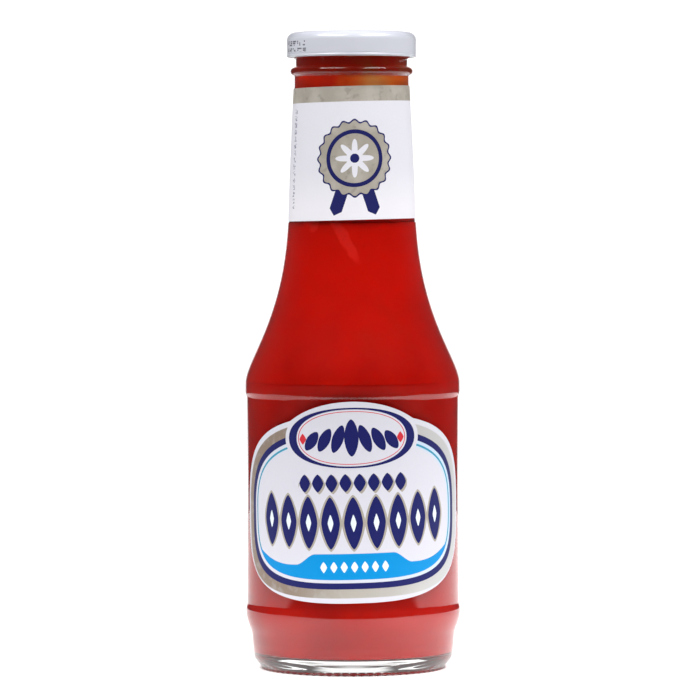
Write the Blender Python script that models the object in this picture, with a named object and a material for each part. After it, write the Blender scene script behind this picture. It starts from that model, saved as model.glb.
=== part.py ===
"""Glass ketchup bottle with its filling, its twist-off metal cap and its two paper labels.

The origin is the middle of the foot, +Z runs up the bottle's axis, and the front label faces -Y.
Every size is in metres, written as millimetres times MM. A profile is a list of (radius, height).
"""

import math

import bmesh
import bpy

MM = 0.001
SEGMENTS = 48  # facets round every turned piece, a multiple of four so that the box is symmetric
SEGMENT_ANGLE = 2 * math.pi / SEGMENTS

# Glass: the body and its two beads
WALL = 2.4 * MM
BEAD_RADIUS = 37.75 * MM
PANEL_RADIUS = 37.25 * MM  # at both ends of the recessed label panel
PANEL_WAIST = 0.25 * MM  # how much slimmer the panel is at its middle
PANEL_BOTTOM = 23.46 * MM
PANEL_TOP = 95.2 * MM
LOWER_BEAD = 20.9 * MM
LOWER_BEAD_FALL = 1.0 * MM  # how far the bead stays upright above its widest line
LOWER_BEAD_SWELL = 3.6 * MM  # and how far below it
STEP_HEIGHT = 2.4 * MM  # of the rounded step from the panel to the upper bead

# Glass: the foot, a ring round a pushed-up middle, and the heel above it
FOOT_INNER_RADIUS = 30.9 * MM
FOOT_OUTER_RADIUS = 32.3 * MM
FOOT_CORNER = ((32.6 * MM, 1.6 * MM), (34.3 * MM, 2.0 * MM))  # pulls the curve from ring to heel
PUNT_HEIGHT = 4.6 * MM
PUNT_CORNER = ((17.0 * MM, 4.6 * MM), (29.6 * MM, 4.4 * MM))  # pulls the curve from middle to ring
HEEL_RADIUS = 35.05 * MM
HEEL_HEIGHT = 4.6 * MM
HEEL_TOP_RADIUS = 35.85 * MM
HEEL_TOP = 12.8 * MM
HEEL_FLARE = (36.3 * MM, 14.3 * MM)  # pulls the curve from the heel out to the lower bead

# Glass: the hollow inside
INNER_RADIUS = 34.9 * MM
INNER_HEEL_RADIUS = 33.2 * MM  # the hollow narrows towards its floor
INNER_HEEL_TOP = 20.0 * MM
INNER_HEEL_PULL = 4.5 * MM  # how far both ends of that narrowing stay upright
FLOOR_HEIGHT = 5.6 * MM  # at its lowest ring
FLOOR_DOME = 9.2 * MM  # at its middle
FLOOR_CORNER = 4.5 * MM
FLOOR_SLOPE = ((14.0 * MM, 9.2 * MM), (22.5 * MM, 6.0 * MM))  # pulls the curve of the dome

# Glass: the shoulder, one curve from the upper bead to the neck label's seat
SHOULDER_START = 100.2 * MM
SHOULDER_END_RADIUS = 22.55 * MM
SHOULDER_END = 156.4 * MM
SHOULDER_PULL = 8.55 * MM  # how far the curve stays upright above the bead
SHOULDER_HANDLE = (24.36 * MM, 122.14 * MM)

# Glass: the neck, with a seat that takes the paper's thickness
SEAT_BOTTOM = 156.8 * MM
SEAT_TOP = 204.8 * MM
SEAT_BOTTOM_RADIUS = 22.0 * MM
SEAT_TOP_RADIUS = 19.9 * MM
SEAT_BELLY = 0.12 * MM
NECK_RADIUS = 20.08 * MM
NECK_STEP = 0.4 * MM  # of height, from the seat and under the transfer bead
TRANSFER_BEAD = 209.67 * MM
TRANSFER_BEAD_RADIUS = 21.5 * MM
TRANSFER_BEAD_ROUND = 1.4 * MM
FINISH_RADIUS = 19.6 * MM  # the threaded top under the cap
FINISH_START = 0.6 * MM  # above the transfer bead's round
BORE_RADIUS = 17.5 * MM
GLASS_TOP = 222.05 * MM

# Glass: four thread lugs that the cap twists under
LUG_COUNT = 4
LUG_START = math.radians(-33)  # where the first lug's low end lies, counted from +X
LUG_SWEEP = math.radians(62)
LUG_STEPS = 8
LUG_LOW = 213.55 * MM
LUG_RISE = 3.6 * MM
LUG_HEIGHT = 2.2 * MM
LUG_CREST = 1.0 * MM  # height of its narrow outer face
LUG_RADIUS = 20.8 * MM
LUG_ROOT = 0.9 * MM  # how deep it is set into the wall

# Cap
CAP_TOP = 223.35 * MM
CAP_BOTTOM = 214.55 * MM
CAP_RADIUS = 22.75 * MM
CAP_CORNER = 2.9 * MM
CAP_WALL = 0.8 * MM
CAP_CURL = 0.6 * MM  # radius of the rolled edge
CAP_CURL_LIP = 0.24 * MM  # from the curl's top to where the wall goes on inside
CAP_PANEL_RADIUS = 17.2 * MM
CAP_PANEL_DEPTH = 0.5 * MM
CAP_PANEL_SLOPE = 0.8 * MM
CAP_BUTTON_RADIUS = 8.0 * MM
CAP_BUTTON_HEIGHT = 0.35 * MM
CAP_BUTTON_SLOPE = 1.5 * MM

# Ketchup
FILL_LEVEL = 201.5 * MM
GAP = 0.3 * MM  # between pieces that touch

# Labels
PAPER = 0.2 * MM  # thickness
PAPER_GAP = 0.2 * MM  # between paper and glass
NECK_LABEL_BOTTOM = 157.65 * MM
NECK_LABEL_TOP = 204.1 * MM
NECK_LABEL_SKEW = math.radians(1.35)  # it was put on askew, with its right side up
LABEL_CENTRE = (0.1 * MM, 58.3 * MM)  # along the glass from the front, and up
LABEL_HALF_WIDTH = 49.4 * MM
LABEL_HALF_HEIGHT = 32.5 * MM
LABEL_SQUARENESS_ABOVE = 2.46  # of the upper half: 2 is an ellipse, more is squarer
LABEL_SQUARENESS_BELOW = 2.75
LABEL_TILT = math.radians(1.3)
OVAL_CENTRE = (0.05 * MM, 11.8 * MM)  # from the label's own centre
OVAL_HALF_WIDTH = 33.5 * MM
OVAL_HALF_HEIGHT = 25.15 * MM
LABEL_POINTS = 72
LABEL_ROWS = 4

# Surfaces: colour, roughness, metallic, transmission
GLASS_LOOK = ((0.93, 0.95, 0.94), 0.03, 0.0, 1.0)
KETCHUP_LOOK = ((0.45, 0.012, 0.006), 0.25, 0.0, 0.0)
CAP_LOOK = ((0.78, 0.79, 0.84), 0.3, 0.0, 0.0)
PAPER_LOOK = ((0.8, 0.8, 0.85), 0.45, 0.0, 0.0)


def clear_scene():
    for obj in list(bpy.data.objects):
        bpy.data.objects.remove(obj, do_unlink=True)


def principled(name, look):
    colour, roughness, metallic, transmission = look
    material = bpy.data.materials.new(name)
    material.use_nodes = True
    shader = material.node_tree.nodes["Principled BSDF"]
    shader.inputs["Base Color"].default_value = (*colour, 1)
    shader.inputs["Roughness"].default_value = roughness
    shader.inputs["Metallic"].default_value = metallic
    shader.inputs["Transmission Weight"].default_value = transmission
    material.diffuse_color = (*colour, 1)
    return material


def arc(centre, radius, start, end, steps):
    """Points on an arc, with its angles in degrees."""
    angles = (math.radians(start + (end - start) * i / steps) for i in range(steps + 1))
    return [(centre[0] + radius * math.cos(a), centre[1] + radius * math.sin(a)) for a in angles]


def bezier(start, handle_a, handle_b, end, steps):
    """Points on a cubic curve, with both ends."""
    points = []
    for i in range(steps + 1):
        t = i / steps
        s = 1 - t
        weights = (s**3, 3 * s * s * t, 3 * s * t * t, t**3)
        corners = (start, handle_a, handle_b, end)
        points.append(tuple(sum(w * c[axis] for w, c in zip(weights, corners)) for axis in (0, 1)))
    return points


def panel_radius(height):
    """Radius of the label panel, which is slightly waisted."""
    share = (height - PANEL_BOTTOM) / (PANEL_TOP - PANEL_BOTTOM)
    return PANEL_RADIUS - PANEL_WAIST * math.sin(math.pi * min(max(share, 0), 1))


def seat_radius(height):
    """Radius of the tapered seat that the neck label is glued to."""
    share = (SEAT_TOP - height) / (SEAT_TOP - SEAT_BOTTOM)
    taper = SEAT_TOP_RADIUS + share * (SEAT_BOTTOM_RADIUS - SEAT_TOP_RADIUS)
    return taper + SEAT_BELLY * math.sin(math.pi * share)


def spread(low, high, steps):
    return [low + (high - low) * i / steps for i in range(steps + 1)]


def shoulder(inset, steps):
    """The shoulder's curve, moved towards the axis by inset."""
    return bezier(
        (BEAD_RADIUS - inset, SHOULDER_START),
        (BEAD_RADIUS - inset, SHOULDER_START + SHOULDER_PULL),
        (SHOULDER_HANDLE[0] - inset, SHOULDER_HANDLE[1]),
        (SHOULDER_END_RADIUS - inset, SHOULDER_END),
        steps,
    )


def foot_profile():
    punt = bezier((0, PUNT_HEIGHT), *PUNT_CORNER, (FOOT_INNER_RADIUS, 0), 5)
    round_off = bezier((FOOT_OUTER_RADIUS, 0), *FOOT_CORNER, (HEEL_RADIUS, HEEL_HEIGHT), 4)
    return punt + round_off


def body_profile():
    swell = bezier(
        (HEEL_TOP_RADIUS, HEEL_TOP),
        HEEL_FLARE,
        (BEAD_RADIUS, LOWER_BEAD - LOWER_BEAD_SWELL),
        (BEAD_RADIUS, LOWER_BEAD),
        5,
    )
    step_down = bezier(
        (BEAD_RADIUS, LOWER_BEAD),
        (BEAD_RADIUS, LOWER_BEAD + LOWER_BEAD_FALL),
        (PANEL_RADIUS, PANEL_BOTTOM - LOWER_BEAD_FALL),
        (PANEL_RADIUS, PANEL_BOTTOM),
        3,
    )
    panel = [(panel_radius(z), z) for z in spread(PANEL_BOTTOM, PANEL_TOP, LABEL_ROWS)[1:-1]]
    step_up = bezier(
        (PANEL_RADIUS, PANEL_TOP),
        (PANEL_RADIUS, PANEL_TOP + STEP_HEIGHT / 2),
        (BEAD_RADIUS, PANEL_TOP + STEP_HEIGHT / 2),
        (BEAD_RADIUS, PANEL_TOP + STEP_HEIGHT),
        3,
    )
    return swell + step_down[1:] + panel + step_up + shoulder(0, 11)


def neck_profile():
    seat = [(seat_radius(z), z) for z in spread(SEAT_BOTTOM, SEAT_TOP, 3)]
    bead_centre = (TRANSFER_BEAD_RADIUS - TRANSFER_BEAD_ROUND, TRANSFER_BEAD)
    bead = arc(bead_centre, TRANSFER_BEAD_ROUND, -76, 70, 6)
    below = [(NECK_RADIUS, SEAT_TOP + NECK_STEP), (NECK_RADIUS, bead[0][1] - NECK_STEP)]
    above = [(FINISH_RADIUS, bead[-1][1] + FINISH_START)]
    lip = (FINISH_RADIUS - BORE_RADIUS) / 2
    rim = arc((BORE_RADIUS + lip, GLASS_TOP - lip), lip, 0, 180, 6)
    return seat + below + bead + above + rim


def hollow_profile(inset, steps):
    """The hollow's wall from its floor's middle up to the neck, moved inwards by inset."""
    corner_centre = (INNER_HEEL_RADIUS - FLOOR_CORNER, FLOOR_HEIGHT + FLOOR_CORNER)
    corner = arc(corner_centre, FLOOR_CORNER - inset, -90, 0, 3)
    slope = [(radius, height + inset) for radius, height in FLOOR_SLOPE]
    floor = bezier((0, FLOOR_DOME + inset), *slope, corner[0], 4)
    heel = bezier(
        corner[-1],
        (INNER_HEEL_RADIUS - inset, corner[-1][1] + INNER_HEEL_PULL),
        (INNER_RADIUS - inset, INNER_HEEL_TOP - INNER_HEEL_PULL),
        (INNER_RADIUS - inset, INNER_HEEL_TOP),
        3,
    )
    walls = shoulder(WALL + inset, steps)
    walls[0] = (INNER_RADIUS - inset, SHOULDER_START)
    return floor[:-1] + corner[:-1] + heel + walls


def turned(name, profile, closed=False):
    """Turns a profile about Z into a closed mesh object."""
    bm = bmesh.new()
    points = [bm.verts.new((radius, 0, height)) for radius, height in profile]
    pairs = zip(points, points[1:] + points[:1]) if closed else zip(points, points[1:])
    edges = [bm.edges.new(pair) for pair in pairs]
    bmesh.ops.spin(
        bm,
        geom=points + edges,
        cent=(0, 0, 0),
        axis=(0, 0, 1),
        angle=2 * math.pi,
        steps=SEGMENTS,
        use_merge=True,
    )
    bmesh.ops.remove_doubles(bm, verts=bm.verts, dist=0.001 * MM)
    bmesh.ops.recalc_face_normals(bm, faces=bm.faces)
    return finished(name, bm)


def finished(name, bm):
    mesh = bpy.data.meshes.new(name)
    bm.to_mesh(mesh)
    bm.free()
    mesh.shade_smooth()
    mesh.set_sharp_from_angle(angle=math.radians(35))
    obj = bpy.data.objects.new(name, mesh)
    bpy.context.scene.collection.objects.link(obj)
    return obj


def thread_lugs():
    """Four short ridges that rise round the finish, as one helper to be joined to the glass."""
    bm = bmesh.new()
    root = FINISH_RADIUS - LUG_ROOT
    for index in range(LUG_COUNT):
        start = LUG_START + index * 2 * math.pi / LUG_COUNT
        section = (
            (root, -LUG_HEIGHT / 2),
            (FINISH_RADIUS, -LUG_HEIGHT / 2),
            (LUG_RADIUS, -LUG_CREST / 2),
            (LUG_RADIUS, LUG_CREST / 2),
            (FINISH_RADIUS, LUG_HEIGHT / 2),
            (root, LUG_HEIGHT / 2),
        )
        corners = [
            bm.verts.new((radius * math.cos(start), radius * math.sin(start), LUG_LOW + height))
            for radius, height in section
        ]
        bmesh.ops.spin(
            bm,
            geom=[bm.faces.new(corners)],
            cent=(0, 0, 0),
            axis=(0, 0, 1),
            dvec=(0, 0, LUG_RISE / LUG_STEPS),
            angle=LUG_SWEEP,
            steps=LUG_STEPS,
        )
    bmesh.ops.recalc_face_normals(bm, faces=bm.faces)
    lugs = finished("thread_lugs", bm)
    lugs.hide_render = True
    lugs.display_type = "WIRE"
    return lugs


def make_bottle():
    outside = foot_profile() + body_profile() + neck_profile()
    neck_inside = [(seat_radius(z) - WALL, z) for z in (SEAT_BOTTOM, SEAT_TOP)]
    inside = hollow_profile(0, 8) + neck_inside
    bottle = turned("glass_bottle", outside + inside[::-1])
    union = bottle.modifiers.new("thread", "BOOLEAN")
    union.operation = "UNION"
    union.object = thread_lugs()
    return bottle


def make_ketchup():
    """The filling, a solid up to its level, with a flat top."""
    side = hollow_profile(GAP, 8)
    top_radius = seat_radius(FILL_LEVEL) - WALL - GAP
    neck = [(seat_radius(SEAT_BOTTOM) - WALL - GAP, SEAT_BOTTOM), (top_radius, FILL_LEVEL)]
    return turned("ketchup", side + neck + [(0, FILL_LEVEL)])


def make_cap():
    """A pressed shell with a shallow panel, a low button in its middle and a rolled lower edge."""
    panel_height = CAP_TOP - CAP_PANEL_DEPTH
    corner_centre = (CAP_RADIUS - CAP_CORNER, CAP_TOP - CAP_CORNER)
    curl_centre = (CAP_RADIUS - CAP_CURL, CAP_BOTTOM + CAP_CURL)
    outside = [
        (0, panel_height + CAP_BUTTON_HEIGHT),
        (CAP_BUTTON_RADIUS - CAP_BUTTON_SLOPE, panel_height + CAP_BUTTON_HEIGHT),
        (CAP_BUTTON_RADIUS, panel_height),
        (CAP_PANEL_RADIUS, panel_height),
        (CAP_PANEL_RADIUS + CAP_PANEL_SLOPE, CAP_TOP),
        *arc(corner_centre, CAP_CORNER, 90, 0, 5),
        *arc(curl_centre, CAP_CURL, 0, -180, 4),
    ]
    inner_radius = CAP_RADIUS - CAP_WALL
    inside = [
        (inner_radius, CAP_BOTTOM + 2 * CAP_CURL + CAP_CURL_LIP),
        *arc(corner_centre, CAP_CORNER - CAP_WALL, 0, 90, 2),
        (CAP_PANEL_RADIUS, panel_height - CAP_WALL),
        (0, panel_height - CAP_WALL),
    ]
    return turned("cap", outside + inside)


def make_neck_label():
    """A paper band round the tapered neck, sheared to the angle at which it was put on."""
    heights = spread(NECK_LABEL_BOTTOM, NECK_LABEL_TOP, 3)
    inner = [(seat_radius(z) + PAPER_GAP, z) for z in heights]
    outer = [(seat_radius(z) + PAPER_GAP + PAPER, z) for z in reversed(heights)]
    label = turned("neck_label", inner + outer, closed=True)
    for vertex in label.data.vertices:
        x, y, z = vertex.co
        sheared = z + x * math.tan(NECK_LABEL_SKEW)
        radius = math.hypot(x, y)
        scale = (radius + seat_radius(sheared) - seat_radius(z)) / radius
        vertex.co = (x * scale, y * scale, sheared)
    return label


def label_reach(angle):
    """Distance from the label's centre to its edge: a cushion shape with an oval on top."""
    across, up = math.cos(angle), math.sin(angle)
    power = LABEL_SQUARENESS_ABOVE if up > 0 else LABEL_SQUARENESS_BELOW
    cushion = (abs(across / LABEL_HALF_WIDTH) ** power + abs(up / LABEL_HALF_HEIGHT) ** power) ** (-1 / power)
    a = (across / OVAL_HALF_WIDTH) ** 2 + (up / OVAL_HALF_HEIGHT) ** 2
    b = across * OVAL_CENTRE[0] / OVAL_HALF_WIDTH**2 + up * OVAL_CENTRE[1] / OVAL_HALF_HEIGHT**2
    c = (OVAL_CENTRE[0] / OVAL_HALF_WIDTH) ** 2 + (OVAL_CENTRE[1] / OVAL_HALF_HEIGHT) ** 2 - 1
    inside = b * b - a * c
    oval = (b + math.sqrt(inside)) / a if inside > 0 else 0
    return max(cushion, oval)


def make_body_label():
    """The die-cut front label, drawn flat, cut into strips and bent round the panel."""
    bm = bmesh.new()
    corners = []
    for i in range(LABEL_POINTS):
        angle = 2 * math.pi * i / LABEL_POINTS
        reach = label_reach(angle)
        along = LABEL_CENTRE[0] + reach * math.cos(angle + LABEL_TILT)
        up = LABEL_CENTRE[1] + reach * math.sin(angle + LABEL_TILT)
        corners.append(bm.verts.new((along, 0, up)))
    sheet = bmesh.ops.extrude_face_region(bm, geom=[bm.faces.new(corners)])
    front = [item for item in sheet["geom"] if isinstance(item, bmesh.types.BMVert)]
    bmesh.ops.translate(bm, verts=front, vec=(0, -PAPER, 0))

    strip = SEGMENT_ANGLE * PANEL_RADIUS
    most = int(LABEL_HALF_WIDTH / strip)
    cuts = [((k * strip, 0, 0), (1, 0, 0)) for k in range(-most, most + 1)]
    rows = spread(PANEL_BOTTOM, PANEL_TOP, LABEL_ROWS)[1:-1]
    cuts += [((0, 0, z), (0, 0, 1)) for z in rows]
    for point, normal in cuts:
        geom = bm.verts[:] + bm.edges[:] + bm.faces[:]
        bmesh.ops.bisect_plane(bm, geom=geom, dist=0.01 * MM, plane_co=point, plane_no=normal)
    bmesh.ops.triangulate(bm, faces=bm.faces)

    for vertex in bm.verts:
        along, depth, up = vertex.co
        radius = panel_radius(up) + PAPER_GAP - depth
        angle = along / PANEL_RADIUS
        vertex.co = (radius * math.sin(angle), -radius * math.cos(angle), up)
    bmesh.ops.recalc_face_normals(bm, faces=bm.faces)
    return finished("body_label", bm)


def main():
    clear_scene()
    looks = {
        make_bottle(): principled("clear_glass", GLASS_LOOK),
        make_ketchup(): principled("ketchup", KETCHUP_LOOK),
        make_cap(): principled("white_lacquer", CAP_LOOK),
        make_neck_label(): principled("neck_paper", PAPER_LOOK),
        make_body_label(): principled("front_paper", PAPER_LOOK),
    }
    for obj, material in looks.items():
        obj.data.materials.append(material)


main()
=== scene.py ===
"""Looks of a clear glass ketchup bottle: glass, filling, white twist-off cap and two paper labels.

The origin is the middle of the foot, +Z runs up the bottle and the front label faces -Y. Profiles are
lists of (radius, height) in millimetres, and pieces are scaled to metres when their mesh is finished.
"""

import math

import bmesh
import bpy
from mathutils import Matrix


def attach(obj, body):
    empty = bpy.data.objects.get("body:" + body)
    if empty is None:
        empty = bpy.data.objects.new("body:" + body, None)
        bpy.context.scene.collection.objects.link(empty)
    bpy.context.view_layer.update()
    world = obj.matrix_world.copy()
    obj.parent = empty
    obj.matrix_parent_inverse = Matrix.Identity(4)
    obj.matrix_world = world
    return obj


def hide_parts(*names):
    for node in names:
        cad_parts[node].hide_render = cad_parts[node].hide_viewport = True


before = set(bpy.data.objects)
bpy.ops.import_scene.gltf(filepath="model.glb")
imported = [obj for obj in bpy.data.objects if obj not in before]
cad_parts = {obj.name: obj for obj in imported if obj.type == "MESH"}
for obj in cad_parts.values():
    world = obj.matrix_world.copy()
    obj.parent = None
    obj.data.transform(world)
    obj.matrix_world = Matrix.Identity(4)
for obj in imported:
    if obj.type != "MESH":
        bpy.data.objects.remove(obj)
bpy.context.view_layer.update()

MM = 0.001
SEGMENTS = 288  # facets round every turned piece
FOOT_RIBS = 72

# Glass: the body and its two beads
WALL = 2.4
BEAD_RADIUS = 37.75
PANEL_RADIUS = 37.25
PANEL_WAIST = 0.25
PANEL_BOTTOM = 23.46
PANEL_TOP = 95.2
LOWER_BEAD = 20.9
LOWER_BEAD_FALL = 1.0
LOWER_BEAD_SWELL = 3.6
STEP_HEIGHT = 2.4

# Glass: the foot, a ring round a pushed-up middle, and the heel above it
FOOT_INNER_RADIUS = 30.9
FOOT_OUTER_RADIUS = 32.3
FOOT_CORNER = ((32.6, 1.6), (34.3, 2.0))
PUNT_HEIGHT = 4.6
PUNT_CORNER = ((17.0, 4.6), (29.6, 4.4))
HEEL_RADIUS = 35.05
HEEL_HEIGHT = 4.6
HEEL_TOP_RADIUS = 35.85
HEEL_TOP = 12.8
HEEL_FLARE = (36.3, 14.3)
RIB_DEPTH = 0.5
RIB_TOP = 1.4  # height at which the ribs have run out
RIB_FULL = 0.3  # height up to which they have their full depth

# Glass: the hollow inside
INNER_RADIUS = 34.9
INNER_HEEL_RADIUS = 33.2
INNER_HEEL_TOP = 20.0
INNER_HEEL_PULL = 4.5
FLOOR_HEIGHT = 5.6
FLOOR_DOME = 9.2
FLOOR_CORNER = 4.5
FLOOR_SLOPE = ((14.0, 9.2), (22.5, 6.0))

# Glass: the shoulder
SHOULDER_START = 100.2
SHOULDER_END_RADIUS = 22.55
SHOULDER_END = 156.4
SHOULDER_PULL = 8.55
SHOULDER_HANDLE = (24.36, 122.14)

# Glass: the neck and its threaded top
SEAT_BOTTOM = 156.8
SEAT_TOP = 204.8
SEAT_BOTTOM_RADIUS = 22.0
SEAT_TOP_RADIUS = 19.9
SEAT_BELLY = 0.12
NECK_RADIUS = 20.08
NECK_STEP = 0.4
TRANSFER_BEAD = 209.67
TRANSFER_BEAD_RADIUS = 21.5
TRANSFER_BEAD_ROUND = 1.4
FINISH_RADIUS = 19.6
FINISH_START = 0.6
BORE_RADIUS = 17.5
BORE_TOP = 219.65
GLASS_TOP = 222.05
THREAD_TOP = 218.85
SEAT_ROUND = 0.3  # of height over which each end of the seat slopes away

# Glass: four thread lugs
LUG_COUNT = 4
LUG_START = math.radians(-33)
LUG_SWEEP = math.radians(62)
LUG_LOW = 213.55
LUG_RISE = 3.6
LUG_HALF_HEIGHT = 1.2
LUG_HALF_CREST = 0.35
LUG_TAPER = 0.1  # share of a lug's length over which each end runs out
LUG_DEPTH = 1.2

# Cap
CAP_TOP = 223.35
CAP_BOTTOM = 214.55
CAP_RADIUS = 22.75
CAP_CORNER = 2.9
CAP_WALL = 0.6
CAP_CURL = 0.6
CAP_WAIST = 0.08  # how far the side stands back between corner and curl
CAP_PANEL_RADIUS = 17.2
CAP_PANEL_DEPTH = 0.5
CAP_PANEL_SLOPE = 1.2
CAP_BUTTON_RADIUS = 8.0
CAP_BUTTON_HEIGHT = 0.35
CAP_BUTTON_SLOPE = 1.5

# Ketchup
GLASS_IOR = 1.52
KETCHUP_IOR = 1.36
FILL_LEVEL = 201.5
MENISCUS = ((0.7, 0.5), (2.5, 1.0))  # how far in from the glass, and how far below the level
FILL_SAG = 1.1  # of the middle of the filling's top
SMEARS = ((-2.7, 151, 28, 1.9, 9.5), (-13, 156.5, 0, 1.8, 3.4))  # across, up, lean, half sizes
BITE = 0.1  # how deep the filling reaches into the glass, so that no air shows between them
FILM = 0.4  # thickness of what clings to the neck above the filling
FILM_TOP = 220.1
FILM_GAP = 0.02  # of height between it and the filling

# Labels
PAPER = 0.2
PAPER_GAP = 0.04
NECK_LABEL_BOTTOM = 157.65
NECK_LABEL_TOP = 204.1
NECK_LABEL_SKEW = math.radians(1.35)
NECK_LABEL_RADIUS = 21.4  # at which its print is measured along
LABEL_CENTRE = (0.1, 58.3)
LABEL_HALF = (49.4, 32.5)
LABEL_SQUARENESS_ABOVE = 2.46
LABEL_SQUARENESS_BELOW = 2.75
LABEL_TILT = math.radians(1.3)
OVAL_CENTRE = (0.05, 11.8)  # from the label's own centre
OVAL_HALF = (33.5, 25.15)
PRINT_SQUARENESS_BELOW = 3.2  # the borders' lower corners are squarer than the cut edge
LABEL_POINTS = 360
LABEL_ROWS = 24
PRINT_SPAN = 300.0  # millimetres that the papers' UV maps cover from 0 to 1
SHARP_ANGLE = math.radians(35)  # edges that bend more than this stay sharp

# Print on the neck: a seal with a scalloped edge, a flower in it and two ribbon tails
SEAL_CENTRE = (1.0, 179.0)
SEAL_RADIUS = 12.6
SEAL_OUTLINE_RADIUS = 13.2
SEAL_SCALLOPS = 20
SCALLOP_HEIGHT = 0.5
SEAL_RING = (8.6, 10.0)
FLOWER_PETALS = 8
FLOWER_RADIUS = 4.8
FLOWER_SWING = 1.9  # how far its petals and the gaps between them are from that radius
FLOWER_HEART = 1.6
TAIL_ACROSS = 5.4
TAIL_HEIGHT = 164.6
TAIL_LEAN = 18
TAIL_HALF = (2.2, 5.8)
NECK_BAND_BOTTOM = 198.8
MARKS_ALONG = -25.2
MARKS_HALF_WIDTH = 0.9
MARKS_BOTTOM, MARKS_TOP = 162, 197

# Print on the front: borders as millimetres in from the paper's edge, then what they frame
SILVER_BORDER = (1.8, 4.9)
NAVY_BORDER = (4.9, 7.0)
HAIRLINE = (8.1, 8.8)
CREST_HEIGHT = 24.5  # of its middle over the label's, as for the other heights here
CREST_HALF = (23.0, 10.4)
CREST_RING_HALF = (19.8, 9.8)
CREST_LINE_OUTER = (19.2, 9.2)
CREST_LINE_INNER = (18.9, 8.95)
CREST_SQUARENESS = 2.15
CREST_WHITE_RIM = 1.5
BANNER_HEIGHT = -15.4
BANNER_DIP = 3.6  # how much lower its top is beside the raised middle
STUD_SPACING = 3.6
STUD_HEIGHT = -20.0
LOZENGE_SPACING = 4.9
LOZENGE_HEIGHT = 9.0
LEAF_SPACING = 8.0
LEAF_HEIGHT = -4.9
LEAF_HALF = (3.3, 9.0)
LEAF_EDGE = 0.8

# Camera, lamps and table, in metres
PHOTO_PIXELS = 700
FOCAL_PIXELS = 4500
CAMERA_DISTANCE = 1.582
CAMERA_HEIGHT = 0.163
CAMERA_PITCH = math.radians(-1.852)
CAMERA_ROLL = math.radians(0.18)
CAMERA_YAW = math.radians(0.025)
LIT_HEIGHT = 0.15  # the height that the lamps point at
LAMPS = (  # name, azimuth and elevation in degrees, distance, size, radiance
    ("left_softbox", -48, 53, 1.25, (0.8, 0.28), 23),
    ("right_softbox", 57, 53, 1.25, (0.9, 0.28), 22),
    ("top_softbox", 0, 90, 1.2, (0.8, 0.8), 0.2),
)
TABLE_GLOW = 0.5
TABLE_FRONT_GLOW = 0.75  # what is added just in front of the bottle
TABLE_RIGHT_GLOW = 0.35  # and towards the right
TABLE_FRONT = -0.2
TABLE_BACK = 0.76
TABLE_HALF_WIDTH = 0.68


class Value:
    """One number that varies over a surface, so that shader maths reads as plain arithmetic."""

    def __init__(self, nodes, socket):
        self.nodes = nodes
        self.socket = socket

    def math(self, operation, *values):
        return self.nodes.add("Math", {"operation": operation}, dict(enumerate(values)))

    def __add__(self, other):
        return self.math("ADD", self, other)

    def __radd__(self, other):
        return self.math("ADD", other, self)

    def __sub__(self, other):
        return self.math("SUBTRACT", self, other)

    def __rsub__(self, other):
        return self.math("SUBTRACT", other, self)

    def __mul__(self, other):
        return self.math("MULTIPLY", self, other)

    def __rmul__(self, other):
        return self.math("MULTIPLY", other, self)

    def __truediv__(self, other):
        return self.math("DIVIDE", self, other)

    def __rtruediv__(self, other):
        return self.math("DIVIDE", other, self)

    def __pow__(self, other):
        return self.math("POWER", self, other)

    def __mod__(self, other):
        return self.math("FLOORED_MODULO", self, other)

    def __abs__(self):
        return self.math("ABSOLUTE", self)

    def __lt__(self, other):
        return self.math("LESS_THAN", self, other)

    def __gt__(self, other):
        return self.math("GREATER_THAN", self, other)

    def __or__(self, other):
        return self.math("MAXIMUM", self, other)

    def floor(self):
        return self.math("FLOOR", self)

    def cosine(self):
        return self.math("COSINE", self)

    def bearing(self, ahead):
        """Angle of the place that lies this far across and so far ahead, 0 being straight ahead."""
        return self.math("ARCTAN2", self, ahead)

    def rise(self, low, high):
        """0 below low, 1 above high, and a smooth slope between them."""
        ends = {"From Min": low, "From Max": high}
        return self.nodes.add("MapRange", {"interpolation_type": "SMOOTHSTEP"}, {"Value": self, **ends})


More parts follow.
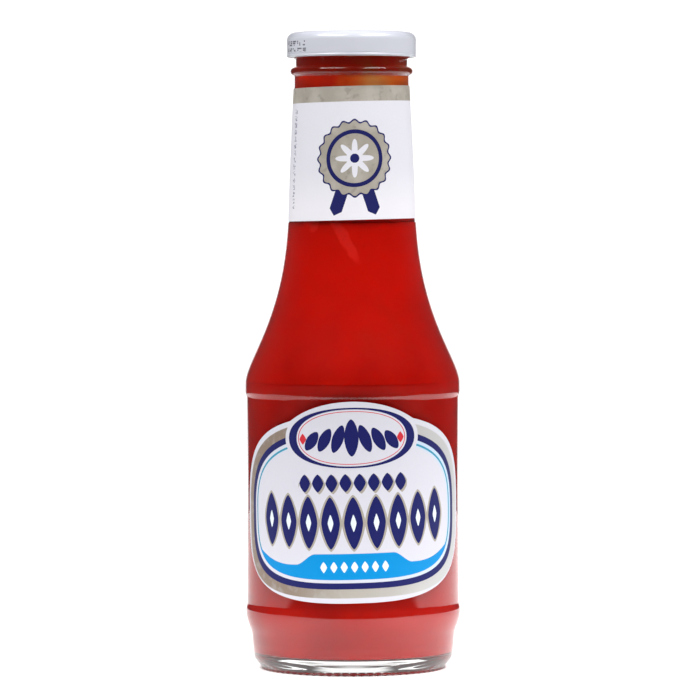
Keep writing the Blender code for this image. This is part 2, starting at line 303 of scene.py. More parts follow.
class Nodes:
    """The node tree of one material or of the world."""

    def __init__(self, owner):
        owner.use_nodes = True
        self.tree = owner.node_tree
        self.tree.nodes.clear()

    def add(self, kind, settings=None, inputs=None, output=0):
        node = self.tree.nodes.new("ShaderNode" + kind)
        for name, value in (settings or {}).items():
            setattr(node, name, value)
        for name, value in (inputs or {}).items():
            if isinstance(value, Value):
                self.tree.links.new(value.socket, node.inputs[name])
            elif isinstance(value, tuple) and len(value) == 3 and node.inputs[name].type == "RGBA":
                node.inputs[name].default_value = (*value, 1)
            else:
                node.inputs[name].default_value = value
        return Value(self, node.outputs[output] if node.outputs else None)

    def object_point(self):
        return self.add("TexCoord", output="Object")

    def place(self):
        """Object coordinates in millimetres: across, towards the back, and up."""
        where = self.object_point()
        split = [self.add("SeparateXYZ", inputs={0: where}, output=axis) for axis in range(3)]
        return [part / MM for part in split]

    def on_paper(self):
        """Millimetres along the paper from the front's middle, and up from the foot."""
        where = self.add("UVMap", {"uv_map": "print"})
        along = self.add("SeparateXYZ", inputs={0: where}, output=0)
        up = self.add("SeparateXYZ", inputs={0: where}, output=1)
        return (along - 0.5) * PRINT_SPAN, up * PRINT_SPAN

    def noise(self, per_metre, detail=2.0, roughness=0.5, point=None):
        inputs = {"Vector": point or self.object_point(), "Scale": per_metre}
        return self.add("TexNoise", None, {**inputs, "Detail": detail, "Roughness": roughness})

    def dice(self, *cell):
        """A random number from 0 to 1 for each cell, given by its whole-numbered place."""
        where = self.add("CombineXYZ", None, dict(enumerate(cell)))
        return self.add("TexWhiteNoise", {"noise_dimensions": "3D"}, {"Vector": where})

    def mix(self, share, first, second):
        """Colour: first where share is 0, second where it is 1."""
        return self.add("Mix", {"data_type": "RGBA"}, {0: share, 6: first, 7: second}, 2)

    def layers(self, base, *coats):
        """Colour: base, with each (mask, colour) laid over what is under it."""
        for mask, colour in coats:
            base = self.mix(mask, base, colour)
        return base

    def bump(self, height, distance, strength=1.0):
        return self.add("Bump", None, {"Height": height, "Distance": distance, "Strength": strength})

    def principled(self, **inputs):
        names = {name.replace("_", " "): value for name, value in inputs.items()}
        return self.add("BsdfPrincipled", None, names)

    def show(self, shader):
        self.add("OutputMaterial", None, {"Surface": shader})

    def surface(self, **inputs):
        self.show(self.principled(**inputs))


def rgb(red, green, blue):
    """Screen colour from 0 to 255 as the shader's linear colour."""
    shares = (red / 255, green / 255, blue / 255)
    return tuple(s / 12.92 if s < 0.04045 else ((s + 0.055) / 1.055) ** 2.4 for s in shares)


def rounded(across, up, half_width, half_height, power=2.0):
    """Below 1 inside an oval: power 2 is an ellipse, more is squarer, 1 is a lozenge."""
    return abs(across / half_width) ** power + abs(up / half_height) ** power


def turned_by(across, up, angle):
    """The same place, measured along axes that are turned by the angle."""
    cos, sin = math.cos(angle), math.sin(angle)
    return across * cos + up * sin, up * cos - across * sin


def repeated(across, spacing):
    """Distance from the nearest of many middles that lie a spacing apart."""
    return ((across / spacing + 0.5) % 1 - 0.5) * spacing


NAVY = rgb(28, 31, 94)
BLUE = rgb(2, 140, 208)
PALE_BLUE = rgb(226, 236, 246)
HAIRLINE_BLUE = rgb(60, 150, 178)
PAPER_WHITE = rgb(208, 207, 216)
PAPER_BRIGHT = rgb(214, 213, 222)
NECK_WHITE = rgb(223, 222, 230)
NECK_BRIGHT = rgb(229, 228, 236)
# painted light for the lower part of the neck paper
NECK_PAINTED_LIGHT = rgb(242, 239, 245)
FIELD_BLUE = rgb(176, 214, 240)
MARK_GREY = rgb(80, 78, 110)
SILVER = rgb(168, 161, 150)
SILVER_BRIGHT = rgb(186, 180, 170)
# painted reflection tones for the front label's silver border
SILVER_PAINTED_SHADE = rgb(146, 130, 117)
SILVER_PAINTED_HIGHLIGHT = rgb(197, 197, 197)
# painted shade for the creases of the crinkled foil
SILVER_CREASE_SHADE = rgb(140, 134, 126)
ENAMEL_WHITE = rgb(208, 210, 220)
ENAMEL_BRIGHT = rgb(212, 213, 222)
# painted shade for the cap's top corner and top
ENAMEL_TOP_SHADE = rgb(184, 186, 196)
INK = rgb(40, 40, 56)
RED = rgb(205, 52, 62)


def new_nodes(name):
    material = bpy.data.materials.new(name)
    return material, Nodes(material)


def clear_glass():
    material, nodes = new_nodes("clear_glass")
    smudge = nodes.noise(45, 4.0).rise(0.5, 0.8)
    ripple = nodes.noise(38, 1.0)
    nodes.surface(
        Base_Color=(0.95, 0.975, 0.965),
        Roughness=smudge * 0.04 + 0.004,
        IOR=GLASS_IOR,
        Transmission_Weight=1.0,
        Normal=nodes.bump(ripple, 0.25 * MM, 0.5),
    )
    return material


def ketchup_red():
    """Red filling that turns into a mirror where light meets it at a low angle inside the glass."""
    material, nodes = new_nodes("ketchup")
    across, back, up = nodes.place()
    cloud = nodes.noise(28, 3.0)
    pulp = nodes.noise(900, 2.0)
    wobble = (nodes.noise(140, 2.0) - 0.5) * 5
    smear = 0
    for middle, height, lean, half_width, half_height in SMEARS:
        x, z = turned_by(across + wobble - middle, up - height, math.radians(lean))
        smear = (1 - rounded(x, z, half_width, half_height).rise(0.5, 1.3)) | smear
    deep, bright, dull = (0.52, 0.0030, 0.0002), (0.68, 0.0055, 0.0004), (0.62, 0.011, 0.002)
    colour = nodes.layers(
        deep,
        (cloud.rise(0.3, 0.62), bright),
        # painted light: the red is lighter higher up the bottle
        (up.rise(105, 150) * 0.85, (0.87, 0.0065, 0.0005)),
        (nodes.noise(60, 3.0).rise(0.55, 0.8) * 0.5, dull),
        (smear * (back < 0) * 0.8, (0.98, 0.026, 0.016)),
        (pulp.rise(0.6, 0.8) * 0.25, deep),
    )
    filling = nodes.principled(
        Base_Color=colour,
        Roughness=cloud * 0.2 + 0.3,
        Specular_IOR_Level=0.03,
        Normal=nodes.bump(pulp, 0.05 * MM, 0.4),
    )
    mirror = nodes.principled(Base_Color=(0.95, 0.95, 0.95), Metallic=1.0, Roughness=0.02)
    low_angle = nodes.add("Fresnel", None, {"IOR": KETCHUP_IOR / GLASS_IOR})
    nodes.show(nodes.add("MixShader", None, {0: low_angle, 1: filling, 2: mirror}))
    return material


def residue_brown():
    """What clings inside the neck: dark red on the left, with painted light from behind making it amber
    low on the right, and painted glints and shade near the cap.
    """
    material, nodes = new_nodes("residue")
    across, _, up = nodes.place()
    smear = nodes.noise(90, 3.0)
    low = 1 - up.rise(206.5, 209.5)
    # painted light: amber low on the right stands in for light shining through the film from behind
    painted_backlight = (across / 14 + (smear - 0.5) * 1.4).rise(-0.5, 0.5) * low
    glint = (nodes.noise(120, 2.0) + across / 60).rise(0.5, 0.75) * (1 - low)
    shade = up.rise(209.0, 214.2)
    colour = nodes.layers(
        (0.78, 0.022, 0.002),
        (painted_backlight, (0.95, 0.15, 0.010)),
        (painted_backlight * (0.5 - abs(across / 18 - 0.4)).rise(0, 0.5) * 0.6, (0.85, 0.42, 0.12)),
        (glint * 0.7, (0.60, 0.09, 0.015)),
        (shade * 0.6, (0.60, 0.010, 0.002)),
    )
    nodes.surface(
        Base_Color=colour,
        Roughness=smear * 0.3 + 0.3,
        Specular_IOR_Level=0.1,
        Normal=nodes.bump(smear, 0.2 * MM, 0.5),
    )
    return material


def white_lacquer():
    """Cap enamel, with a small patch of ink-jet dots on the left of its side."""
    material, nodes = new_nodes("white_lacquer")
    across, back, up = nodes.place()
    along = across.bearing(0 - back) * CAP_RADIUS
    dot_spacing = 0.62
    column, row = along / dot_spacing, up / dot_spacing
    dot = rounded(column % 1 - 0.5, row % 1 - 0.5, 0.45, 0.45) < 1
    group = (((column.floor() + 2) % 5) > 0.5) * (((row.floor() + 1) % 4) > 0.5)
    patch = (along > -30.5) * (along < -17.6) * (up > 216.2) * (up < 220.6)
    ink = dot * (nodes.dice(column.floor(), row.floor()) > 0.42) * group * patch
    dapple = nodes.noise(160, 3.0)
    enamel = nodes.mix(dapple, ENAMEL_WHITE, ENAMEL_BRIGHT)
    # painted shade: greyer enamel over the top corner and the top
    enamel = nodes.mix(up.rise(220.4, 222.4) * 0.8, enamel, ENAMEL_TOP_SHADE)
    nodes.surface(
        Base_Color=nodes.mix(ink * 0.9, enamel, INK),
        Roughness=dapple * 0.06 + 0.22,
        Coat_Weight=0.3,
        Coat_Roughness=0.1,
        Normal=nodes.bump(nodes.noise(120, 1.0), 0.04 * MM, 0.3),
    )
    return material


def paper_grain(nodes):
    return nodes.noise(1500, 3.0)


def neck_paper():
    """White paper with a silver top band, a seal with two ribbon tails, and a column of fine marks."""
    material, nodes = new_nodes("neck_paper")
    along, up = nodes.on_paper()
    across, above = along - SEAL_CENTRE[0], up - SEAL_CENTRE[1]
    distance = (across * across + above * above) ** 0.5
    angle = across.bearing(above)
    scallops = (angle * SEAL_SCALLOPS).cosine() * SCALLOP_HEIGHT
    seal = distance < scallops + SEAL_RADIUS
    outline = (distance < scallops + SEAL_OUTLINE_RADIUS) * (1 - seal)
    flower = distance < (angle * FLOWER_PETALS).cosine() * FLOWER_SWING + FLOWER_RADIUS
    ring = (distance > SEAL_RING[0]) * (distance < SEAL_RING[1])
    heart = distance < FLOWER_HEART
    tails = 0
    for side in (-1, 1):
        lean = math.radians(TAIL_LEAN * side)
        x, z = turned_by(across - side * TAIL_ACROSS, up - TAIL_HEIGHT, lean)
        notch = z > abs(x) * 0.9 - 5.6
        tails = ((abs(x) < TAIL_HALF[0]) * (abs(z) < TAIL_HALF[1]) * notch) | tails
    tails = tails * (1 - seal)
    band = up > NECK_BAND_BOTTOM
    mark = nodes.dice((along / 0.45).floor(), (up / 0.55).floor()) > 0.5
    column = (abs(along - MARKS_ALONG) < MARKS_HALF_WIDTH) * (up > MARKS_BOTTOM) * (up < MARKS_TOP)
    marks = column * mark * ((up / 2.4) % 1 > 0.25)
    grain = paper_grain(nodes)
    crinkle = nodes.noise(420, 4.0)
    silver = nodes.layers(
        SILVER,
        (nodes.noise(130, 3.0).rise(0.35, 0.7), SILVER_BRIGHT),
        # painted shade: darker foil in the creases of the crinkle
        (crinkle.rise(0.56, 0.7) * 0.45, SILVER_CREASE_SHADE),
    )
    foil = band | (seal * (1 - flower))
    colour = nodes.layers(
        nodes.mix(grain, NECK_WHITE, NECK_BRIGHT),
        # painted light: the paper is whiter towards its lower edge
        ((1 - up.rise(160, 178)) * 0.8, NECK_PAINTED_LIGHT),
        (foil * (1 - ring), silver),
        (ring | tails | outline | (heart * seal), NAVY),
        (marks * 0.7, MARK_GREY),
    )
    nodes.surface(
        Base_Color=colour,
        Roughness=0.5 - foil * 0.05,
        Metallic=foil * 0.1,
        Specular_IOR_Level=0.25,
        Normal=nodes.bump(crinkle * foil + grain * 0.1, 0.12 * MM, 0.5),
    )
    return material


def front_paper():
    """White paper with silver, navy and blue borders round a leaf frieze, and an oval on top."""
    material, nodes = new_nodes("front_paper")
    along, height = nodes.on_paper()
    across, up = turned_by(along - LABEL_CENTRE[0], height - LABEL_CENTRE[1], LABEL_TILT)
    reach = abs(across)
    lower_half = up < 0
    squareness = LABEL_SQUARENESS_ABOVE + lower_half * (PRINT_SQUARENESS_BELOW - LABEL_SQUARENESS_ABOVE)

    def border(inset):
        return rounded(across, up, LABEL_HALF[0] - inset, LABEL_HALF[1] - inset, squareness)

    crest_up = up - CREST_HEIGHT

    def crest(half, grow=0.0):
        return rounded(across, crest_up, half[0] + grow, half[1] + grow, CREST_SQUARENESS)

    # the borders stop at the crest's white rim
    outside_crest = crest(CREST_HALF, CREST_WHITE_RIM) > 1

    def stripe(edges):
        return (border(edges[0]) < 1) * (border(edges[1]) > 1) * outside_crest

    silver, navy_band, hairline = stripe(SILVER_BORDER), stripe(NAVY_BORDER), stripe(HAIRLINE)
    field = (border(NAVY_BORDER[1]) < 1) * outside_crest

    # the banner along the foot of the field, raised in the middle and at its ends, with a row of studs
    ends = ((reach - 23) | 0) ** 2 * 0.0215
    banner_top = BANNER_HEIGHT - reach.rise(13.8, 21.2) * BANNER_DIP + ends
    banner = (border(HAIRLINE[0]) < 1) * (up < banner_top)
    stud = rounded(repeated(across, STUD_SPACING), up - STUD_HEIGHT, 1.2, 1.9, 1.2) < 1
    studs = stud * (reach < 3.5 * STUD_SPACING)

    # a row of lozenges with silver shadows, over a frieze of upright leaves with silver edges
    def lozenges(shift_x, shift_z, size):
        x = repeated(across + shift_x + LOZENGE_SPACING / 2, LOZENGE_SPACING)
        z = up - LOZENGE_HEIGHT + shift_z
        return (rounded(x, z, 2.1 * size, 3.1 * size, 1.35) < 1) * (reach < 4 * LOZENGE_SPACING)

    leaf_x = repeated(across, LEAF_SPACING)
    leaf_z = up - LEAF_HEIGHT - across * across * 0.0016
    leaf_rows = reach < 4.5 * LEAF_SPACING

    def leaves(grow):
        return (rounded(leaf_x, leaf_z, LEAF_HALF[0] + grow, LEAF_HALF[1] + grow, 1.45) < 1) * leaf_rows

    heart = (rounded(leaf_x, leaf_z, 1.0, 3.0, 1.2) < 1) * leaf_rows

    # the crest: a navy ring, a fine red line, and a sprig of leaves with red lozenges
    ring = (crest(CREST_HALF) < 1) * (crest(CREST_RING_HALF) > 1)
    red_line = (crest(CREST_LINE_OUTER) < 1) * (crest(CREST_LINE_INNER) > 1)
    sprig = rounded(across, crest_up, 2.5, 6.4, 1.7) < 1
    berries = 0
    for side in (-1, 1):
        for step, lean in ((1, 20), (2, 28), (3, 36)):
            leaf_across, leaf_up = across - side * 4.7 * step, crest_up + 0.3 * step
            x, z = turned_by(leaf_across, leaf_up, math.radians(lean * side))
            sprig = (rounded(x, z, 2.0, 5.6 - 0.6 * step, 1.7) < 1) | sprig
        berries = (rounded(across - side * 17.4, crest_up + 0.2, 1.3, 1.9, 1.2) < 1) | berries

    grain = paper_grain(nodes)
    glow = border(8.7).rise(0.9, 1.0) * 0.5 * (across + up * 0.6).rise(-45, 50)
    crinkle = nodes.noise(350, 4.0)
    # painted reflection on the silver border: darker on the left, lighter on the right, with painted
    # glints on the crinkles
    foil_painted_reflection = nodes.layers(
        SILVER_BRIGHT,
        ((0 - across).rise(0, 26), SILVER_PAINTED_SHADE),
        (across.rise(-6, 40), SILVER_PAINTED_HIGHLIGHT),
        (crinkle.rise(0.5, 0.7) * 0.25, SILVER_PAINTED_HIGHLIGHT),
    )
    colour = nodes.layers(
        nodes.mix(grain, PAPER_WHITE, PAPER_BRIGHT),
        (field * glow, FIELD_BLUE),
        (silver, foil_painted_reflection),
        ((lozenges(-0.55, 0.5, 1.05) | leaves(LEAF_EDGE)) * field, SILVER),
        (navy_band | ((lozenges(0, 0, 1.0) | leaves(0)) * field), NAVY),
        (heart * field, PALE_BLUE),
        (hairline, HAIRLINE_BLUE),
        (banner, BLUE),
        (banner * studs, PALE_BLUE),
        (ring | sprig, NAVY),
        (red_line | berries, RED),
    )
    nodes.surface(
        Base_Color=colour,
        Roughness=0.42 - silver * 0.1,
        Metallic=silver * 0.2,
        Specular_IOR_Level=0.2,
        Normal=nodes.bump(crinkle * silver + grain * 0.1, 0.1 * MM, 0.5),
    )
    return material


def arc(centre, radius, start, end, steps):
    """Points on an arc, with its angles in degrees."""
    angles = (math.radians(start + (end - start) * i / steps) for i in range(steps + 1))
    return [(centre[0] + radius * math.cos(a), centre[1] + radius * math.sin(a)) for a in angles]


def bezier(start, handle_a, handle_b, end, steps):
    """Points on a cubic curve, with both ends."""
    points = []
    for i in range(steps + 1):
        t = i / steps
        s = 1 - t
        weights = (s**3, 3 * s * s * t, 3 * s * t * t, t**3)
        corners = (start, handle_a, handle_b, end)
        points.append(tuple(sum(w * c[axis] for w, c in zip(weights, corners)) for axis in (0, 1)))
    return points


def spread(low, high, steps):
    return [low + (high - low) * i / steps for i in range(steps + 1)]


def panel_radius(height):
    share = (height - PANEL_BOTTOM) / (PANEL_TOP - PANEL_BOTTOM)
    return PANEL_RADIUS - PANEL_WAIST * math.sin(math.pi * min(max(share, 0), 1))


def seat_radius(height):
    share = (SEAT_TOP - height) / (SEAT_TOP - SEAT_BOTTOM)
    taper = SEAT_TOP_RADIUS + share * (SEAT_BOTTOM_RADIUS - SEAT_TOP_RADIUS)
    return taper + SEAT_BELLY * math.sin(math.pi * share)


def shoulder(inset, steps):
    """The shoulder's curve, moved towards the axis by inset."""
    return bezier(
        (BEAD_RADIUS - inset, SHOULDER_START),
        (BEAD_RADIUS - inset, SHOULDER_START + SHOULDER_PULL),
        (SHOULDER_HANDLE[0] - inset, SHOULDER_HANDLE[1]),
        (SHOULDER_END_RADIUS - inset, SHOULDER_END),
        steps,
    )


def foot_profile():
    punt = bezier((0, PUNT_HEIGHT), *PUNT_CORNER, (FOOT_INNER_RADIUS, 0), 30)
    bearing = [(r, 0) for r in spread(FOOT_INNER_RADIUS, FOOT_OUTER_RADIUS, 4)[1:-1]]
    round_off = bezier((FOOT_OUTER_RADIUS, 0), *FOOT_CORNER, (HEEL_RADIUS, HEEL_HEIGHT), 18)
    return punt + bearing + round_off


def body_profile():
    swell = bezier(
        (HEEL_TOP_RADIUS, HEEL_TOP),
        HEEL_FLARE,
        (BEAD_RADIUS, LOWER_BEAD - LOWER_BEAD_SWELL),
        (BEAD_RADIUS, LOWER_BEAD),
        20,
    )
    step_down = bezier(
        (BEAD_RADIUS, LOWER_BEAD),
        (BEAD_RADIUS, LOWER_BEAD + LOWER_BEAD_FALL),
        (PANEL_RADIUS, PANEL_BOTTOM - LOWER_BEAD_FALL),
        (PANEL_RADIUS, PANEL_BOTTOM),
        12,
    )
    panel = [(panel_radius(z), z) for z in spread(PANEL_BOTTOM, PANEL_TOP, 24)[1:-1]]
    step_up = bezier(
        (PANEL_RADIUS, PANEL_TOP),
        (PANEL_RADIUS, PANEL_TOP + STEP_HEIGHT / 2),
        (BEAD_RADIUS, PANEL_TOP + STEP_HEIGHT / 2),
        (BEAD_RADIUS, PANEL_TOP + STEP_HEIGHT),
        10,
    )
    return swell + step_down[1:] + panel + step_up + shoulder(0, 44)


def neck_profile():
    """The neck from the paper's seat to the rim, closer to the paper than the solid is."""
    seat_heights = spread(SEAT_BOTTOM + SEAT_ROUND, SEAT_TOP - SEAT_ROUND, 16)
    seat = [(seat_radius(z) + PAPER, z) for z in seat_heights]
    bead_centre = (TRANSFER_BEAD_RADIUS - TRANSFER_BEAD_ROUND, TRANSFER_BEAD)
    bead = arc(bead_centre, TRANSFER_BEAD_ROUND, -76, 70, 18)
    below = [(NECK_RADIUS, z) for z in spread(SEAT_TOP + NECK_STEP, bead[0][1] - NECK_STEP, 2)]
    above = [(FINISH_RADIUS, z) for z in spread(bead[-1][1] + FINISH_START, THREAD_TOP, 30)]
    lip = (FINISH_RADIUS - BORE_RADIUS) / 2
    rim = arc((BORE_RADIUS + lip, GLASS_TOP - lip), lip, 0, 180, 14)
    return seat + below + bead + above + rim


def hollow_profile(inset, steps):
    """The hollow's wall from its floor's middle up to the neck, moved inwards by inset."""
    corner_centre = (INNER_HEEL_RADIUS - FLOOR_CORNER, FLOOR_HEIGHT + FLOOR_CORNER)
    corner = arc(corner_centre, FLOOR_CORNER - inset, -90, 0, 12)
    slope = [(radius, height + inset) for radius, height in FLOOR_SLOPE]
    floor = bezier((0, FLOOR_DOME + inset), *slope, corner[0], 16)
    heel = bezier(
        corner[-1],
        (INNER_HEEL_RADIUS - inset, corner[-1][1] + INNER_HEEL_PULL),
        (INNER_RADIUS - inset, INNER_HEEL_TOP - INNER_HEEL_PULL),
        (INNER_RADIUS - inset, INNER_HEEL_TOP),
        10,
    )
    walls = shoulder(WALL + inset, steps)
    walls[0] = (INNER_RADIUS - inset, SHOULDER_START)
    return floor[:-1] + corner[:-1] + heel + walls


def turned(profile, closed=False):
    """A profile turned about Z, as a bmesh in millimetres."""
    bm = bmesh.new()
    points = [bm.verts.new((radius, 0, height)) for radius, height in profile]
    pairs = zip(points, points[1:] + points[:1]) if closed else zip(points, points[1:])
    edges = [bm.edges.new(pair) for pair in pairs]
    bmesh.ops.spin(
        bm,
        geom=points + edges,
        cent=(0, 0, 0),
        axis=(0, 0, 1),
        angle=2 * math.pi,
        steps=SEGMENTS,
        use_merge=True,
    )
    bmesh.ops.remove_doubles(bm, verts=bm.verts, dist=0.001)
    bmesh.ops.recalc_face_normals(bm, faces=bm.faces)
    return bm


def finished(name, bm, material, node=None, slot=None):
    """Scales a piece to metres, makes its object and, where asked, puts it under the root body and hides
    the CAD part that it stands for.
    """
    bmesh.ops.scale(bm, vec=(MM, MM, MM), verts=bm.verts)
    mesh = bpy.data.meshes.new(name)
    bm.to_mesh(mesh)
    bm.free()
    mesh.shade_smooth()
    mesh.set_sharp_from_angle(angle=SHARP_ANGLE)
    mesh.materials.append(material)
    obj = bpy.data.objects.new(name, mesh)
    bpy.context.scene.collection.objects.link(obj)
    if slot:
        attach(obj, "root")
    if node:
        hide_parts(node)


def smooth_step(value, low, high):
    share = min(max((value - low) / (high - low), 0), 1)
    return share * share * (3 - 2 * share)


def lug_height(angle, height):
    """How far a thread lug stands out of the finish at this place, from 0 to 1."""
    turn = 2 * math.pi / LUG_COUNT
    share = ((angle - LUG_START) % turn) / LUG_SWEEP
    if share > 1:
        return 0
    off_middle = abs(height - LUG_LOW - share * LUG_RISE)
    flank = 1 - smooth_step(off_middle, LUG_HALF_CREST, LUG_HALF_HEIGHT)
    ends = smooth_step(share, 0, LUG_TAPER) * (1 - smooth_step(share, 1 - LUG_TAPER, 1))
    return flank * ends


def make_bottle():
    """The glass, with its thread lugs raised out of the finish and ribs pressed into the foot."""
    outside = foot_profile() + body_profile() + neck_profile()
    neck_inside = [(seat_radius(z) - WALL, z) for z in spread(SEAT_BOTTOM, SEAT_TOP, 6)]
    bore = [(BORE_RADIUS, z) for z in spread(SEAT_TOP, BORE_TOP, 6)[1:]]
    inside = hollow_profile(0, 40) + neck_inside + bore
    bm = turned(outside + inside[::-1])
    for vertex in bm.verts:
        x, y, z = vertex.co
        radius = math.hypot(x, y)
        angle = math.atan2(y, x)
        if abs(radius - FINISH_RADIUS) < 0.01 and z > TRANSFER_BEAD:
            scale = (radius + LUG_DEPTH * lug_height(angle, z)) / radius
            vertex.co = (x * scale, y * scale, z)
        elif z < RIB_TOP and radius > FOOT_INNER_RADIUS - 1:
            valley = 0.5 - 0.5 * math.cos(angle * FOOT_RIBS)
            vertex.co.z = z + RIB_DEPTH * valley * (1 - smooth_step(z, RIB_FULL, RIB_TOP))
    finished("bottle_glass", bm, clear_glass(), "glass_bottle", "clear_glass")


def make_ketchup():
    side = hollow_profile(-BITE, 40)
    neck = [(seat_radius(z) - WALL + BITE, z) for z in spread(SEAT_BOTTOM, FILL_LEVEL, 6)]
    top_radius = neck[-1][0]
    meniscus = [(top_radius - inwards, FILL_LEVEL - below) for inwards, below in MENISCUS]
    bm = turned(side + neck + meniscus + [(0, FILL_LEVEL - FILL_SAG)])
    finished("ketchup_fill", bm, ketchup_red(), "ketchup", "ketchup")


def make_film():
    """The thin coat of ketchup inside the neck, above the filling."""
    heights = spread(FILL_LEVEL + FILM_GAP, FILM_TOP, 20)
    outer = [(max(seat_radius(z) - WALL, BORE_RADIUS) + BITE, z) for z in heights]
    inner = [(radius - FILM - BITE, z) for radius, z in reversed(outer)]
    bm = turned(outer + inner, closed=True)
    finished("neck_film", bm, residue_brown(), slot="ketchup")


def make_cap():
    """A pressed shell with a shallow panel, a low button in its middle and a rolled lower edge."""
    panel_height = CAP_TOP - CAP_PANEL_DEPTH
    button_top = panel_height + CAP_BUTTON_HEIGHT
    button_flat = CAP_BUTTON_RADIUS - CAP_BUTTON_SLOPE
    corner_centre = (CAP_RADIUS - CAP_CORNER, CAP_TOP - CAP_CORNER)
    curl_centre = (CAP_RADIUS - CAP_CURL, CAP_BOTTOM + CAP_CURL)
    curl_top = CAP_BOTTOM + 2 * CAP_CURL
    outside = [
        (0, button_top),
        *bezier(
            (button_flat, button_top),
            (button_flat + CAP_BUTTON_SLOPE / 2, button_top),
            (button_flat + CAP_BUTTON_SLOPE / 2, panel_height),
            (CAP_BUTTON_RADIUS, panel_height),
            8,
        ),
        *bezier(
            (CAP_PANEL_RADIUS, panel_height),
            (CAP_PANEL_RADIUS + CAP_PANEL_SLOPE / 2, panel_height),
            (CAP_PANEL_RADIUS + CAP_PANEL_SLOPE / 2, CAP_TOP),
            (CAP_PANEL_RADIUS + CAP_PANEL_SLOPE, CAP_TOP),
            8,
        ),
        *arc(corner_centre, CAP_CORNER, 90, 0, 18),
        (CAP_RADIUS - CAP_WAIST, curl_top + 0.5),
        (CAP_RADIUS - CAP_WAIST, curl_top),
        *arc(curl_centre, CAP_CURL, 40, -200, 14),
    ]
    inner_radius = CAP_RADIUS - CAP_WALL
    inside = [
        (inner_radius, curl_top + 0.24),
        *arc(corner_centre, CAP_CORNER - CAP_WALL, 0, 90, 10),
        (CAP_PANEL_RADIUS, panel_height - CAP_WALL),
        (0, panel_height - CAP_WALL),
    ]
    finished("cap_shell", turned(outside + inside), white_lacquer(), "cap", "white_lacquer")


def print_map(bm, along_at):
    """Gives a paper its UV map: millimetres along and up it, over PRINT_SPAN."""
    layer = bm.loops.layers.uv.new("print")
    for face in bm.faces:
        for loop in face.loops:
            along, up = along_at(loop.vert, face)
            loop[layer].uv = (0.5 + along / PRINT_SPAN, up / PRINT_SPAN)


def make_neck_label():
    """A paper band round the tapered neck, put on slightly askew."""
    heights = spread(NECK_LABEL_BOTTOM, NECK_LABEL_TOP, 32)
    base = PAPER + PAPER_GAP
    inner = [(seat_radius(z) + base, z) for z in heights]
    outer = [(seat_radius(z) + base + PAPER, z) for z in reversed(heights)]
    bm = turned(inner + outer, closed=True)

    def along_at(vertex, face):
        middle = face.calc_center_median()
        across = math.atan2(middle.x, -middle.y)
        angle = math.atan2(vertex.co.x, -vertex.co.y)
        angle += 2 * math.pi * round((across - angle) / (2 * math.pi))
        return angle * NECK_LABEL_RADIUS, vertex.co.z

    print_map(bm, along_at)
    for vertex in bm.verts:
        x, y, z = vertex.co
        sheared = z + x * math.tan(NECK_LABEL_SKEW)
        radius = math.hypot(x, y)
        scale = (radius + seat_radius(sheared) - seat_radius(z)) / radius
        vertex.co = (x * scale, y * scale, sheared)
    finished("neck_paper", bm, neck_paper(), "neck_label", "neck_paper")


def label_reach(angle):
    """Distance from the front label's centre to its edge: a cushion shape with an oval on top."""
    across, up = math.cos(angle), math.sin(angle)
    power = LABEL_SQUARENESS_ABOVE if up > 0 else LABEL_SQUARENESS_BELOW
    cushion = (abs(across / LABEL_HALF[0]) ** power + abs(up / LABEL_HALF[1]) ** power) ** (-1 / power)
    a = (across / OVAL_HALF[0]) ** 2 + (up / OVAL_HALF[1]) ** 2
    b = across * OVAL_CENTRE[0] / OVAL_HALF[0] ** 2 + up * OVAL_CENTRE[1] / OVAL_HALF[1] ** 2
    c = (OVAL_CENTRE[0] / OVAL_HALF[0]) ** 2 + (OVAL_CENTRE[1] / OVAL_HALF[1]) ** 2 - 1
    inside = b * b - a * c
    oval = (b + math.sqrt(inside)) / a if inside > 0 else 0
    return max(cushion, oval)


def make_front_label():
    """The die-cut front label, drawn flat, cut into strips and bent round the panel."""
    bm = bmesh.new()
    corners = []
    for i in range(LABEL_POINTS):
        angle = 2 * math.pi * i / LABEL_POINTS
        reach = label_reach(angle)
        along = LABEL_CENTRE[0] + reach * math.cos(angle + LABEL_TILT)
        up = LABEL_CENTRE[1] + reach * math.sin(angle + LABEL_TILT)
        corners.append(bm.verts.new((along, 0, up)))
    sheet = bmesh.ops.extrude_face_region(bm, geom=[bm.faces.new(corners)])
    front = [item for item in sheet["geom"] if isinstance(item, bmesh.types.BMVert)]
    bmesh.ops.translate(bm, verts=front, vec=(0, -PAPER, 0))

    strip = 2 * math.pi / SEGMENTS * PANEL_RADIUS
    most = int(LABEL_HALF[0] / strip)
    cuts = [((k * strip, 0, 0), (1, 0, 0)) for k in range(-most, most + 1)]
    cuts += [((0, 0, z), (0, 0, 1)) for z in spread(PANEL_BOTTOM, PANEL_TOP, LABEL_ROWS)[1:-1]]
    for point, normal in cuts:
        geom = bm.verts[:] + bm.edges[:] + bm.faces[:]
        bmesh.ops.bisect_plane(bm, geom=geom, dist=0.002, plane_co=point, plane_no=normal)
    bmesh.ops.triangulate(bm, faces=bm.faces)
    print_map(bm, lambda vertex, face: (vertex.co.x, vertex.co.z))

    for vertex in bm.verts:
        along, depth, up = vertex.co
        radius = panel_radius(up) + PAPER_GAP - depth
        angle = along / PANEL_RADIUS
        vertex.co = (radius * math.sin(angle), -radius * math.cos(angle), up)
    bmesh.ops.recalc_face_normals(bm, faces=bm.faces)
    finished("front_paper", bm, front_paper(), "body_label", "front_paper")


def make_camera():
    data = bpy.data.cameras.new("camera")
    data.sensor_width = 36
    data.lens = data.sensor_width * FOCAL_PIXELS / PHOTO_PIXELS
    camera = bpy.data.objects.new("camera", data)
    camera.location = (0, -CAMERA_DISTANCE, CAMERA_HEIGHT)
    camera.rotation_euler = (math.pi / 2 + CAMERA_PITCH, CAMERA_ROLL, CAMERA_YAW)
    bpy.context.scene.collection.objects.link(camera)
    bpy.context.scene.camera = camera


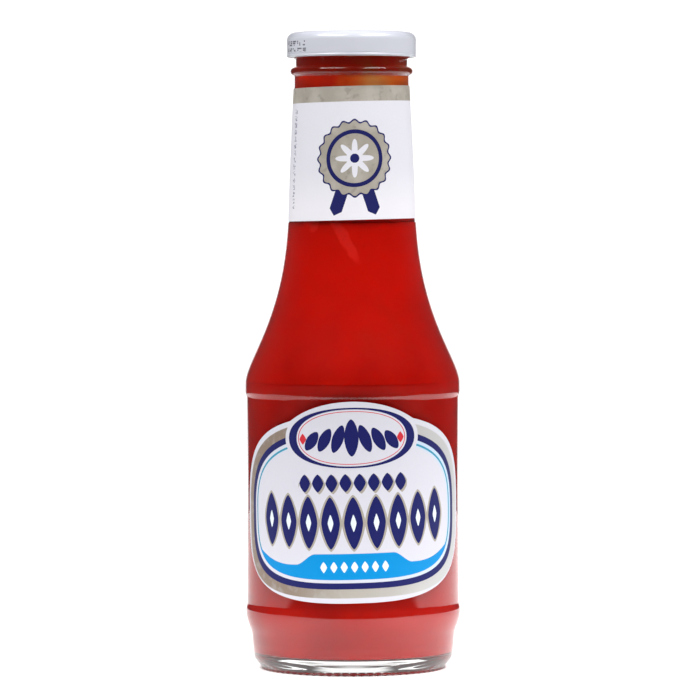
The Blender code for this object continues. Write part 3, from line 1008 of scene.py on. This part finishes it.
def make_lamp(name, azimuth, elevation, distance, size, radiance):
    """A softbox that faces the bottle. Azimuth 0 is the camera's side, 90 the right."""
    data = bpy.data.lights.new(name, "AREA")
    data.shape = "RECTANGLE"
    data.size, data.size_y = size
    data.energy = radiance * math.pi * size[0] * size[1]
    lamp = bpy.data.objects.new(name, data)
    turn, tilt = math.radians(azimuth), math.radians(elevation)
    flat = distance * math.cos(tilt)
    lamp.location = (flat * math.sin(turn), -flat * math.cos(turn), LIT_HEIGHT + distance * math.sin(tilt))
    lamp.rotation_euler = (math.pi / 2 - tilt, 0, turn)
    lamp.visible_camera = False
    bpy.context.scene.collection.objects.link(lamp)


def make_table():
    """The white light table that the bottle stands on, brightest just in front of it, with its glow left
    out under the foot as a painted shadow.
    """
    bm = bmesh.new()
    bmesh.ops.create_grid(bm, x_segments=1, y_segments=1, size=1)
    depth = (TABLE_BACK - TABLE_FRONT) / 2
    bmesh.ops.scale(bm, vec=(TABLE_HALF_WIDTH, depth, 1), verts=bm.verts)
    bmesh.ops.translate(bm, vec=(0, TABLE_FRONT + depth, 0), verts=bm.verts)
    material, nodes = new_nodes("table")
    material.cycles.emission_sampling = "NONE"
    across, back, _ = nodes.place()
    to_right, to_back = across - 30, back + 90
    far = (to_right * to_right + to_back * to_back) ** 0.5
    beside = abs(across).rise(5, 60) * 0.75 + 0.25
    front_edge = back.rise(-195, -115)
    from_axis = (across * across + back * back) ** 0.5
    # painted shadow: the glow is left out under the bottle's foot
    outside_painted_foot_shadow = from_axis.rise(FOOT_OUTER_RADIUS - 3, FOOT_OUTER_RADIUS + 4)
    front_glow = (1 - far.rise(60, 260)) * beside * TABLE_FRONT_GLOW
    right_glow = across.rise(-60, 200) * TABLE_RIGHT_GLOW
    glow = (front_glow + right_glow + TABLE_GLOW) * front_edge * outside_painted_foot_shadow
    tone = nodes.mix(nodes.noise(3, 2.0), (0.66, 0.66, 0.66), (0.70, 0.70, 0.70))
    nodes.surface(
        Base_Color=nodes.mix(front_edge, (0.03, 0.03, 0.03), tone),
        Roughness=0.6,
        Specular_IOR_Level=0.2,
        Emission_Color=nodes.mix(glow / 2, (0.0, 0.0, 0.0), (1.0, 1.0, 1.0)),
        Emission_Strength=2.0,
    )
    mesh = bpy.data.meshes.new("table")
    bm.to_mesh(mesh)
    bm.free()
    mesh.materials.append(material)
    table = bpy.data.objects.new("table", mesh)
    bpy.context.scene.collection.objects.link(table)


def make_room():
    """A white backdrop to look at, in a room that is dark in front and dim at the sides."""
    world = bpy.data.worlds.new("room")
    bpy.context.scene.world = world
    nodes = Nodes(world)
    where = nodes.add("TexCoord", output="Generated")
    back = nodes.add("SeparateXYZ", inputs={0: where}, output=1)
    up = nodes.add("SeparateXYZ", inputs={0: where}, output=2)
    room = 0.03 + back.rise(-0.3, 0.6) * 0.05 + back.rise(0.94, 0.98) * 1.0 + up.rise(0.8, 0.95) * 0.3
    looked_at = nodes.add("LightPath", output="Is Camera Ray")
    strength = room * (1 - looked_at) + looked_at * 1.2
    shader = nodes.add("Background", None, {"Color": (1.0, 1.0, 1.0), "Strength": strength})
    nodes.add("OutputWorld", None, {"Surface": shader})


def main():
    make_camera()
    bpy.context.scene.view_settings.view_transform = "Standard"
    make_bottle()
    make_ketchup()
    make_film()
    make_cap()
    make_neck_label()
    make_front_label()
    make_table()
    make_room()
    for lamp in LAMPS:
        make_lamp(*lamp)


main()
